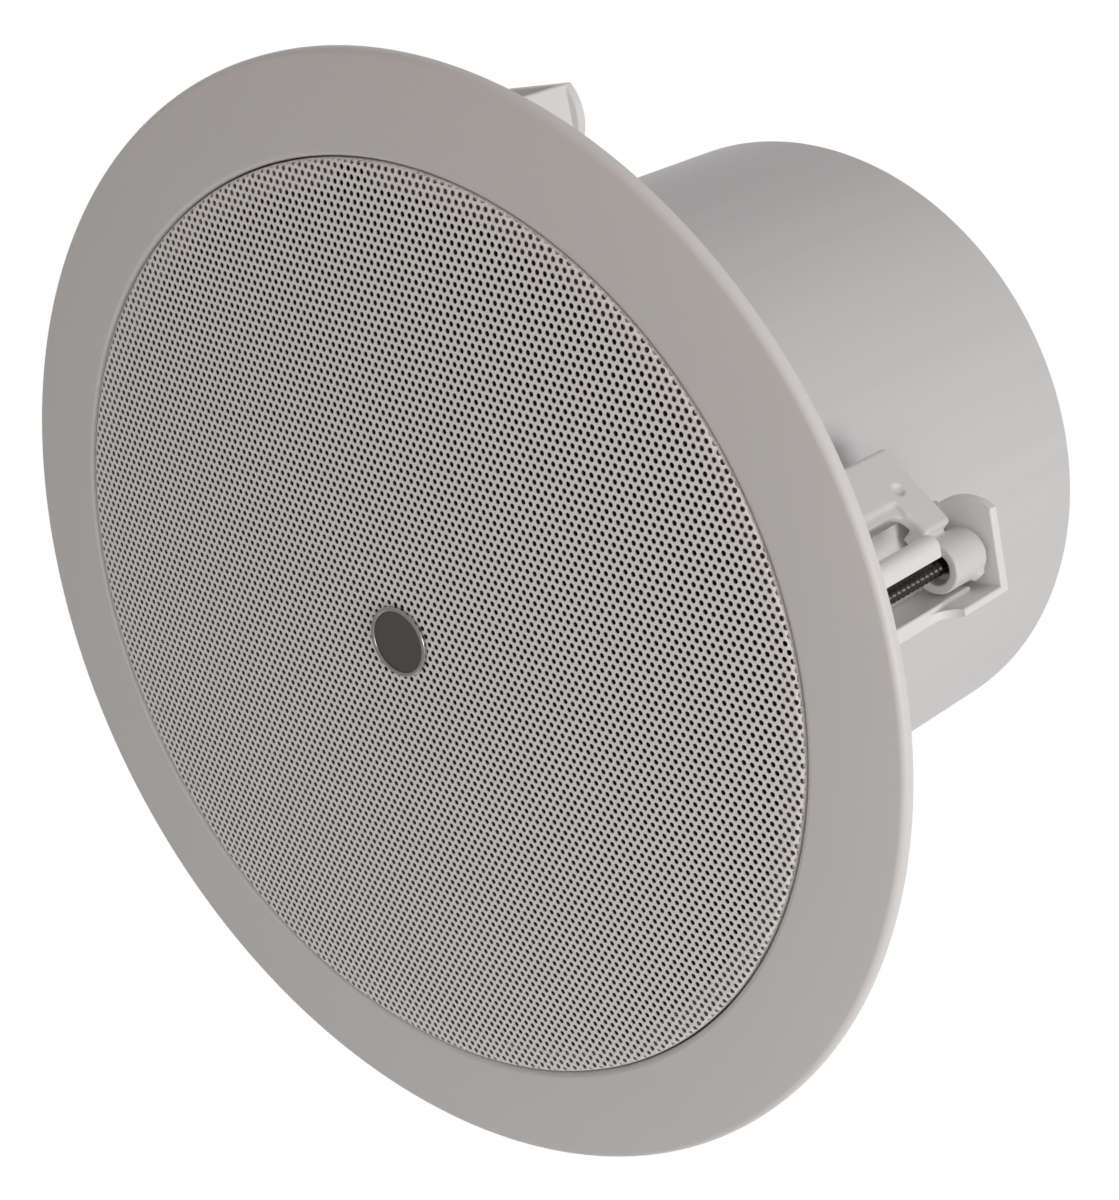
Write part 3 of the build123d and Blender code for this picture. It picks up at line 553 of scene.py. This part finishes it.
    def _zone(self, number: int, start: float, end: float) -> bpy.types.Mesh:
        """Makes one ring-shaped zone of the perforated sheet.

        Args:
            number: the zone's number from 1, outwards.
            start: inner limit of its hole centres.
            end: outer limit of its hole centres.

        Returns:
            The mesh.
        """
        limit = self.radius - self.fold + self.fold * math.pi / 2 + self.holes_past_fold
        shape = NodeShape(f"grille_sheet_{number}", {
            "Pitch": self.pitch * MM, "Hole radius": self.hole_radius * MM, "Wall": self.wall * MM,
            "Radius": self.radius * MM, "Fold": self.fold * MM, "Crown": self.crown * MM,
            "Dome": (self.edge - self.crown) * MM, "Angle": self.lattice_angle,
            "Zone start": start * MM, "Zone end": min(end, limit) * MM})
        turn = shape.add("ShaderNodeCombineXYZ", None, Z=shape.size("Angle"))
        cells = shape.add("GeometryNodeInstanceOnPoints", None, Points=self._lattice(shape),
                          Instance=self._cell(shape), Rotation=turn.outputs[0])
        flat = shape.add("GeometryNodeRealizeInstances", None, Geometry=cells.outputs[0])
        welded = shape.add("GeometryNodeMergeByDistance", None, Geometry=flat.outputs[0],
                           Distance=self.weld * MM)
        return shape.mesh(self._formed(shape, welded.outputs[0]), GRILLE_COAT)

    def build(self) -> None:
        """Makes the perforated sheet in zones and the plain edge that stands on the ledge."""
        for number, (start, end) in enumerate(zip(self.zones, self.zones[1:]), 1):
            sheet = self._zone(number, start, end)
            new_piece(f"grille_sheet_{number}", sheet, SPEAKER, ("grille",))
        outer = self.radius - self.edge_inset
        inner = self.radius - self.sheet
        top = self.edge + self.fold - self.edge_overlap
        corners = [(inner, top), (outer, top), (outer, self.ledge), (inner, self.ledge)]
        rim = lathe("grille_edge", corners, self.edge_steps, GRILLE_COAT)
        new_piece("grille_edge", rim, SPEAKER)


@dataclass
class ScrimCloth:
    """Black cloth stretched behind the grille. Sizes in millimetres."""

    radius: float = 102.45
    centre: float = -8.1
    rise: float = 3.7
    thickness: float = 0.3
    rings: int = 24
    steps: int = 96

    def build(self) -> None:
        points = [(0.0, 0.0, self.centre * MM)]
        for ring in range(1, self.rings + 1):
            r = self.radius * ring / self.rings
            z = self.centre + self.rise * (ring / self.rings) ** 2
            points += [(r * MM * math.cos(a), r * MM * math.sin(a), z * MM)
                       for a in (2 * math.pi * i / self.steps for i in range(self.steps))]
        faces = [(0, 1 + (i + 1) % self.steps, 1 + i) for i in range(self.steps)]
        for ring in range(self.rings - 1):
            low, high = 1 + ring * self.steps, 1 + (ring + 1) * self.steps
            faces += [(low + i, low + (i + 1) % self.steps, high + (i + 1) % self.steps, high + i)
                      for i in range(self.steps)]
        mesh = bpy.data.meshes.new("scrim_sheet")
        mesh.from_pydata(points, [], faces)
        mesh.materials.append(SCRIM_CLOTH.material())
        mesh.shade_smooth()
        piece = new_piece("scrim_sheet", mesh, SPEAKER, ("grille_scrim",))
        wall = piece.modifiers.new("thickness", "SOLIDIFY")
        wall.thickness = self.thickness * MM
        wall.offset = 0.0


@dataclass
class ClampScrews:
    """Black machine screws of the clamps with their rolled threads. Sizes in millimetres."""

    count: int = 4
    axis_radius: float = 101.5
    shank_radius: float = 2.0
    thread_depth: float = 0.5
    pitch: float = 1.75
    thread_start: float = 14.0
    tip: float = 69.7
    seat: float = 6.0
    head_radius: float = 4.0
    head_height: float = 2.8
    head_round: float = 1.4
    head_steps: int = 48
    overlap: float = 0.2
    groove: tuple[float, float] = (12.2, 13.0)
    groove_depth: float = 0.4
    sides: int = 24
    rows_per_turn: int = 10

    def _thread(self) -> bpy.types.Mesh:
        """Threaded shank about Z.

        Returns:
            The mesh at the origin.
        """
        length = self.tip - self.thread_start
        shape = NodeShape("screw_thread", {
            "Radius": self.shank_radius * MM, "Depth": self.thread_depth * MM, "Pitch": self.pitch * MM,
            "Start": self.thread_start * MM, "Length": length * MM})
        rows = int(length / self.pitch * self.rows_per_turn)
        shank = shape.add("GeometryNodeMeshCylinder", None, Vertices=self.sides, Side_Segments=rows,
                          Radius=shape.size("Radius"), Depth=shape.size("Length"))
        middle = shape.maths("ADD", shape.size("Start"), shape.maths("MULTIPLY", shape.size("Length"), 0.5))
        raised = shape.add("GeometryNodeTransform", None, Geometry=shank.outputs["Mesh"],
                           Translation=shape.add("ShaderNodeCombineXYZ", None, Z=middle).outputs[0])
        x, y, z = shape.place().outputs
        turn = shape.maths("DIVIDE", shape.maths("ARCTAN2", y, x), 2 * math.pi)
        turns = shape.maths("DIVIDE", z, shape.size("Pitch"))
        phase = shape.maths("FRACT", shape.maths("SUBTRACT", turns, turn))
        ridge = shape.maths("ABSOLUTE", shape.maths("SUBTRACT", phase, 0.5))
        cut = shape.maths("MULTIPLY", shape.maths("MULTIPLY", ridge, 2.0), shape.size("Depth"))
        scale = shape.maths("SUBTRACT", 1.0, shape.maths("DIVIDE", cut, shape.size("Radius")))
        target = shape.add("ShaderNodeCombineXYZ", None, X=shape.maths("MULTIPLY", x, scale),
                           Y=shape.maths("MULTIPLY", y, scale), Z=z)
        cut_shank = shape.add("GeometryNodeSetPosition", None, Geometry=raised.outputs[0],
                              Position=target.outputs[0])
        return shape.mesh(cut_shank.outputs[0], BLACK_SCREW)

    def _head(self) -> bpy.types.Mesh:
        """Head, plain neck and clip groove about Z.

        Returns:
            The mesh at the origin.
        """
        radius, low, high = self.shank_radius, self.groove[0], self.groove[1]
        core = radius - self.groove_depth
        top = self.seat - self.head_height
        crest = self.thread_start + self.overlap
        profile = rounded([
            (0.0, top, 0.0), (self.head_radius, top, self.head_round), (self.head_radius, self.seat, 0.0),
            (radius, self.seat, 0.0), (radius, low, 0.0), (core, low, 0.0), (core, high, 0.0),
            (radius, high, 0.0), (radius, crest, 0.0), (0.0, crest, 0.0)])
        return lathe("screw_head", profile, self.head_steps, BLACK_SCREW)

    def build(self) -> None:
        """Puts a threaded screw in place of each clamp's plain one."""
        for number in range(1, self.count + 1):
            turn = Matrix.Rotation(2 * math.pi * (number - 1) / self.count, 4, "Z")
            place = turn @ Matrix.Translation((self.axis_radius * MM, 0.0, 0.0))
            body = clamp_body("screw", number)
            for kind, mesh in (("thread", self._thread()), ("head", self._head())):
                mesh.transform(place)
                replaced = (f"clamp_screw_{number}",) if kind == "thread" else ()
                new_piece(f"screw_{kind}_{number}", mesh, body, replaced)


@dataclass
class ClampArms:
    """Moulded clamp arms with softened edges. Sizes in millimetres."""

    count: int = 4
    axis_radius: float = 101.5
    parked_turn: float = -132.0
    wing_face: float = 6.4
    lobe_start: float = 26.5
    lobe_end: float = 30.0
    hook: tuple[float, float, float, float] = (4.0, 19.5, 40.0, 60.0)
    hook_face: float = 1.0
    voxel: float = 0.3
    merge: float = 0.001
    soften: float = 0.5
    edge_passes: int = 10
    hook_passes: int = 14

    def _arm_frame(self) -> Matrix:
        """Finds where the arm is parked.

        Returns:
            The matrix from the arm's own frame, reach along X and offset along Y, to its parked place.
        """
        turn = Matrix.Rotation(math.radians(self.parked_turn), 4, "Z")
        return Matrix.Translation((self.axis_radius * MM, 0.0, 0.0)) @ turn

    def _pressed(self, place: Vector) -> Vector:
        """Presses the foot's outer lobe flush with the wing, except at its far end.

        Args:
            place: a point of the arm in its own frame, in metres.

        Returns:
            The point's new place.
        """
        share = (place.x / MM - self.lobe_start) / (self.lobe_end - self.lobe_start)
        proud = place.y - self.wing_face * MM
        if proud > 0.0:
            place.y -= proud * (1.0 - min(1.0, max(0.0, share)))
        return place

    def _mesh(self) -> bpy.types.Mesh:
        """Remeshes a merged copy of the first arm's solid and rounds its edges.

        Returns:
            The first arm's mesh, parked, in metres.
        """
        shape = bmesh.new()
        shape.from_mesh(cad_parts["clamp_arm_1"].data)
        bmesh.ops.remove_doubles(shape, verts=shape.verts, dist=self.merge * MM)
        source = bpy.data.meshes.new("clamp_arm_source")
        shape.to_mesh(source)
        shape.free()
        holder = bpy.data.objects.new("clamp_arm_source", source)
        bpy.context.scene.collection.objects.link(holder)
        remesh = holder.modifiers.new("cells", "REMESH")
        remesh.mode, remesh.voxel_size = "VOXEL", self.voxel * MM
        cells = bpy.data.meshes.new_from_object(holder.evaluated_get(bpy.context.evaluated_depsgraph_get()))
        holder.modifiers.clear()
        holder.data = cells
        parked = self._arm_frame()
        own = parked.inverted()
        group = holder.vertex_groups.new(name="hook")
        reach_low, reach_high, low, high = (size * MM for size in self.hook)
        for vertex in cells.vertices:
            place = self._pressed(own @ vertex.co)
            vertex.co = parked @ place
            in_hook = reach_low < place.x < reach_high and low < place.z < high
            if in_hook and place.y > self.hook_face * MM:
                group.add([vertex.index], 1.0, "REPLACE")
        for name, passes in (("", self.edge_passes), ("hook", self.hook_passes)):
            soft = holder.modifiers.new(f"soft {name}", "SMOOTH")
            soft.factor, soft.iterations, soft.vertex_group = self.soften, passes, name
        made = bpy.data.meshes.new_from_object(holder.evaluated_get(bpy.context.evaluated_depsgraph_get()))
        bpy.data.objects.remove(holder)
        made.name = "clamp_arm"
        made.shade_smooth()
        made.materials.clear()
        made.materials.append(ARM_MOULDING.material())
        return made

    def build(self) -> None:
        """Puts a softened arm in place of each clamp's solid."""
        first = self._mesh()
        for number in range(1, self.count + 1):
            mesh = first.copy()
            mesh.transform(Matrix.Rotation(2 * math.pi * (number - 1) / self.count, 4, "Z"))
            body, solid = clamp_body("arm", number), f"clamp_arm_{number}"
            new_piece(f"arm_{number}", mesh, body, (solid,))


@dataclass
class BadgeFace:
    """Plain badge of satin dark metal with a beaded rim of the same metal, lightened as painted highlight.
    Sizes in millimetres.
    """

    radius: float = 8.35
    rim: float = 1.0
    face_colour: Colour = (0.16, 0.155, 0.15)
    # The rim is the face's metal; its lighter colour is painted highlight.
    rim_highlight_colour: Colour = (0.46, 0.45, 0.44)
    face_roughness: float = 0.45
    rim_roughness: float = 0.24
    metallic: float = 0.9
    rim_blend: float = 0.05
    grain_scale: float = 5000.0
    grain_relief: float = 0.1
    grain_depth: float = 0.05

    def build(self) -> None:
        """Dresses the badge's CAD node with one material that turns glossier and lighter at the rim; the
        lighter colour is painted highlight.
        """
        made = bpy.data.materials.new("finish_badge")
        made.use_nodes = True
        tree = made.node_tree
        shader = tree.nodes["Principled BSDF"]
        place = add(tree, "ShaderNodeTexCoord").outputs["Object"]
        flat = add(tree, "ShaderNodeVectorMath", {"operation": "MULTIPLY"}, _0=place, _1=(1.0, 1.0, 0.0))
        reach = add(tree, "ShaderNodeVectorMath", {"operation": "LENGTH"}, _0=flat.outputs[0])
        edge = (self.radius - self.rim) * MM
        mask = add(tree, "ShaderNodeMapRange", None, Value=reach.outputs["Value"],
                   _1=edge - self.rim_blend * MM, _2=edge + self.rim_blend * MM).outputs[0]
        # Painted highlight: past the mask's edge the colour lightens to the rim's.
        tint = add(tree, "ShaderNodeMix", {"data_type": "RGBA"}, _0=mask)
        tint.inputs[6].default_value = (*self.face_colour, 1.0)
        tint.inputs[7].default_value = (*self.rim_highlight_colour, 1.0)
        tree.links.new(tint.outputs[2], shader.inputs["Base Color"])
        shader.inputs["Metallic"].default_value = self.metallic
        gloss = add(tree, "ShaderNodeMapRange", None, Value=mask,
                    _3=self.face_roughness, _4=self.rim_roughness)
        tree.links.new(gloss.outputs[0], shader.inputs["Roughness"])
        grain = add(tree, "ShaderNodeTexNoise", None, Vector=place, Scale=self.grain_scale, Detail=3.0)
        bump = add(tree, "ShaderNodeBump", None, Height=grain.outputs["Fac"],
                   Strength=self.grain_relief, Distance=self.grain_depth * MM)
        tree.links.new(bump.outputs["Normal"], shader.inputs["Normal"])
        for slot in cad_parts["badge"].material_slots:
            slot.material = made
        LOG.info("badge: face and rim")


@dataclass
class BezelSkin:
    """Smooth turned skin over the bezel's front and rim. Sizes in millimetres."""

    rim_radius: float = 131.5
    opening_radius: float = 108.85
    rim_front: float = -3.02
    bezel_front: float = -5.02
    ledge: float = 1.5
    seat: float = 0.02
    lip_round: float = 1.2
    rim_round: float = 1.6
    seat_round: float = 0.6
    lip_width: float = 0.9
    rim_inside: float = 128.5
    rim_depth: float = -1.8
    lip_depth: float = -3.6
    steps: int = 720

    def build(self) -> None:
        """Makes the skin as a thin shell whose inside is sunk in the moulding."""
        inside = self.opening_radius + self.lip_width
        profile = rounded([
            (self.opening_radius, self.ledge, 0.0),
            (self.opening_radius, self.bezel_front, self.lip_round),
            (self.rim_radius, self.rim_front, self.rim_round),
            (self.rim_radius, self.seat, self.seat_round),
            (self.rim_inside, self.seat, 0.0), (self.rim_inside, self.rim_depth, 0.0),
            (inside, self.lip_depth, 0.0), (inside, self.ledge, 0.0)])
        # The skin takes the darker copy of the white moulding, which is painted shade.
        skin = lathe("bezel_skin", profile, self.steps, BEZEL_SHADED_MOULDING)
        new_piece("bezel_skin", skin, SPEAKER)


@dataclass
class CanSkin:
    """Smooth drawn skin over the can's wall and rear corner. Sizes in millimetres."""

    radius: float = 79.0
    front: float = 11.6
    rear: float = 147.32
    corner: float = 2.2
    flat: float = 74.0
    sheet: float = 0.4
    steps: int = 360

    def build(self) -> None:
        """Makes the skin as a thin shell whose inside is sunk in the can's sheet."""
        inner, inside = self.radius - self.sheet, self.rear - self.sheet
        profile = rounded([
            (self.radius, self.front, 0.0), (self.radius, self.rear, self.corner),
            (self.flat, self.rear, 0.0), (self.flat, inside, 0.0), (inner, inside, self.corner),
            (inner, self.front, 0.0)])
        new_piece("can_skin", lathe("can_skin", profile, self.steps, CAN_PAINT), SPEAKER)


@dataclass
class Dressing:
    """Finishes of the CAD nodes that keep their own shape."""

    clamps: int = 4
    finishes: dict[str, Finish] = field(default_factory=lambda: {
        "front_frame": WHITE_MOULDING, "back_can": CAN_PAINT, "can_gasket": FOAM, "can_screws": ZINC,
        "woofer_basket": BASKET_PAINT, "basket_gasket": FOAM, "woofer_screws": BLACK_SCREW,
        "surround": RUBBER, "cone": CONE_PULP, "spider": SPIDER_CLOTH, "voice_coil": COPPER_WIRE,
        "top_plate": PLATE_STEEL, "magnet": FERRITE, "pole_yoke": PLATE_STEEL,
        "tweeter_housing": TWEETER_SHELL, "tweeter_magnet": PLATE_STEEL, "tweeter_dome": DOME_CLOTH,
        "crossover_board": BOARD, "board_standoffs": ZINC, "board_screws": ZINC,
        "crossover_coil": COPPER_WIRE, "crossover_capacitor": CAPACITOR_SLEEVE,
        "crossover_resistor": CEMENT, "terminal_cover": CAN_PAINT, "cover_screws": ZINC,
        "cable_grommet": RUBBER, "terminal_block": BLOCK_MOULDING, "safety_eye": ZINC, "eye_nut": ZINC,
        "grille": GRILLE_COAT, "grille_scrim": SCRIM_CLOTH})

    def build(self) -> None:
        """Dresses every node."""
        for node, finish in self.finishes.items():
            dress(node, finish)
        for number in range(1, self.clamps + 1):
            for node, finish in (("clamp_arm", ARM_MOULDING), ("clamp_insert", BRASS),
                                 ("clamp_screw", BLACK_SCREW), ("screw_clip", ZINC)):
                dress(f"{node}_{number}", finish)


@dataclass(frozen=True)
class Lamp:
    """One soft square lamp that is aimed at the speaker. Sizes in metres."""

    name: str
    place: tuple[float, float, float]
    size: float
    watts: float
    colour: Colour

    def build(self) -> None:
        """Hangs the lamp."""
        data = bpy.data.lights.new(self.name, "AREA")
        data.energy, data.size, data.color = self.watts, self.size, self.colour
        lamp = bpy.data.objects.new(self.name, data)
        lamp.location = self.place
        lamp.rotation_euler = (-Vector(self.place)).to_track_quat("-Z", "Y").to_euler()
        bpy.context.scene.collection.objects.link(lamp)


@dataclass
class Studio:
    """Camera at the photograph's place, soft light, pale floor and white surroundings. Sizes in metres."""

    eye: tuple[float, float, float] = (0.43509, -0.17131, -0.39450)
    right: tuple[float, float, float] = (0.73406, 0.18873, 0.65233)
    down: tuple[float, float, float] = (0.05427, 0.94123, -0.33339)
    forward: tuple[float, float, float] = (-0.67691, 0.28013, 0.68068)
    focal_px: float = 2700.0
    frame_px: tuple[int, int] = (1119, 1200)
    sensor_mm: float = 36.0
    ambient: float = 0.38
    lamps: tuple[Lamp, ...] = (
        Lamp("key", (1.28, 0.22, -0.16), 0.5, 6.7, (1.0, 0.99, 0.98)),
        Lamp("fill", (-0.35, 0.55, -0.40), 0.3, 0.55, (0.50, 0.80, 1.0)))
    floor_height: float = -0.46
    floor_size: float = 8.0
    floor_colour: Colour = (0.86, 0.80, 0.76)
    floor_roughness: float = 0.9
    clip: tuple[float, float] = (0.01, 50.0)
    ambient_colour: Colour = (1.0, 0.99, 0.985)

    def _camera(self) -> None:
        """Sets the camera by its calibrated place and axes."""
        data = bpy.data.cameras.new("photo_view")
        data.sensor_width = self.sensor_mm
        data.lens = self.focal_px * self.sensor_mm / max(self.frame_px)
        data.clip_start, data.clip_end = self.clip
        camera = bpy.data.objects.new("photo_view", data)
        up, back = (tuple(-v for v in axis) for axis in (self.down, self.forward))
        axes = Matrix((self.right, up, back)).transposed()
        camera.matrix_world = Matrix.Translation(self.eye) @ axes.to_4x4()
        bpy.context.scene.collection.objects.link(camera)
        bpy.context.scene.camera = camera

    def _world(self) -> None:
        """White surroundings for the eye and reflections, softer light for the rest."""
        world = bpy.data.worlds.new("surroundings")
        bpy.context.scene.world = world
        world.use_nodes = True
        tree = world.node_tree
        path = add(tree, "ShaderNodeLightPath")
        seen = add(tree, "ShaderNodeMath", {"operation": "MAXIMUM"},
                   _0=path.outputs["Is Camera Ray"], _1=path.outputs["Is Transmission Ray"]).outputs[0]
        seen = add(tree, "ShaderNodeMath", {"operation": "MAXIMUM"},
                   _0=seen, _1=path.outputs["Is Glossy Ray"]).outputs[0]
        white = tree.nodes["Background"]
        white.inputs["Color"].default_value = (1.0, 1.0, 1.0, 1.0)
        soft = add(tree, "ShaderNodeBackground", None, Color=(*self.ambient_colour, 1.0),
                   Strength=self.ambient)
        both = add(tree, "ShaderNodeMixShader", None, _0=seen, _1=soft.outputs[0], _2=white.outputs[0])
        tree.links.new(both.outputs[0], tree.nodes["World Output"].inputs["Surface"])

    def _floor(self) -> None:
        """Plain pale floor below the speaker."""
        half = self.floor_size / 2
        mesh = bpy.data.meshes.new("floor")
        corners = [(-half, -half), (half, -half), (half, half), (-half, half)]
        mesh.from_pydata([(x, y, self.floor_height) for x, y in corners], [], [(0, 1, 2, 3)])
        paint = bpy.data.materials.new("floor_paint")
        paint.use_nodes = True
        shader = paint.node_tree.nodes["Principled BSDF"]
        shader.inputs["Base Color"].default_value = (*self.floor_colour, 1.0)
        shader.inputs["Roughness"].default_value = self.floor_roughness
        mesh.materials.append(paint)
        floor = bpy.data.objects.new("floor", mesh)
        bpy.context.scene.collection.objects.link(floor)

    def build(self) -> None:
        """Sets up the view."""
        bpy.context.scene.view_settings.view_transform = "Standard"
        self._camera()
        self._world()
        for lamp in self.lamps:
            lamp.build()
        self._floor()


def main() -> None:
    """Builds the dressed speaker in its studio."""
    logging.basicConfig(level=logging.INFO, format="%(name)s: %(message)s")
    Studio().build()
    Dressing().build()
    for assembly in (BezelSkin(), PerforatedGrille(), ScrimCloth(), BadgeFace(), CanSkin(), ClampScrews(),
                     ClampArms()):
        assembly.build()
    bpy.context.view_layer.update()


if __name__ == "__main__":
    main()
